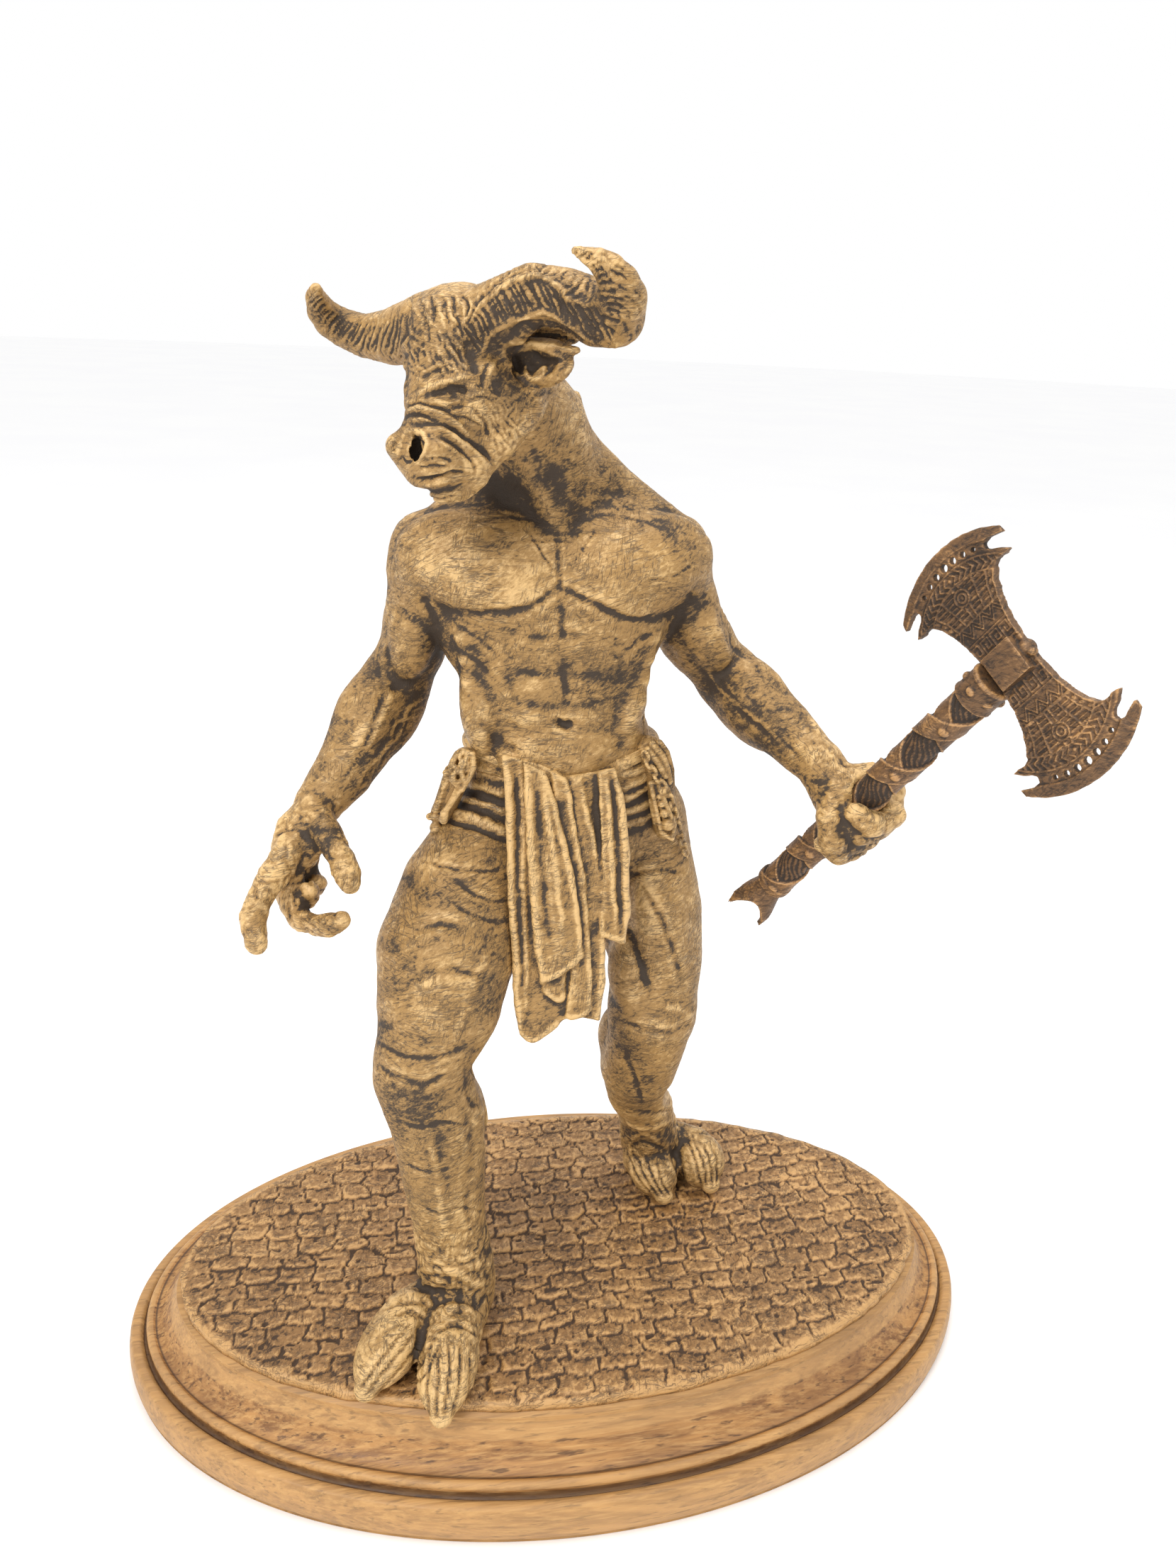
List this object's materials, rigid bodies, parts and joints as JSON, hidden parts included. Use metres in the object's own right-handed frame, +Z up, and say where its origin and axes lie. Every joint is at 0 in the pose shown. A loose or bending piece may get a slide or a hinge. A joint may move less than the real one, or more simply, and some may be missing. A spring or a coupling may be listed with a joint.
{
  "type": "minotaur statue",
  "caption": "Standing bull-headed warrior figurine gripping a double-bladed axe, on a cobbled slab and an oval moulded plinth, for display on a shelf.",
  "frame": {"origin": "middle of the plinth's flat underside", "axes": "+Z up, +X to the viewer's right along the plinth's long axis, +Y away from the viewer; the figure faces -Y"},
  "size_m": [0.3, 0.2037, 0.3557],
  "materials": {
    "aged_ochre_resin": "cast resin, ochre paint rubbed back over dark recesses",
    "brown_resin": "cast resin, brown paint with rubbed edges",
    "ochre_paving": "cast resin stones, brown wash in the joints",
    "stained_wood": "stained and waxed, satin"
  },
  "bodies": {
    "root": {"figure": "aged_ochre_resin", "axe_handle": "brown_resin", "axe_head": "brown_resin", "cobble_slab": "ochre_paving", "plinth": "stained_wood"}
  },
  "joints": []
}
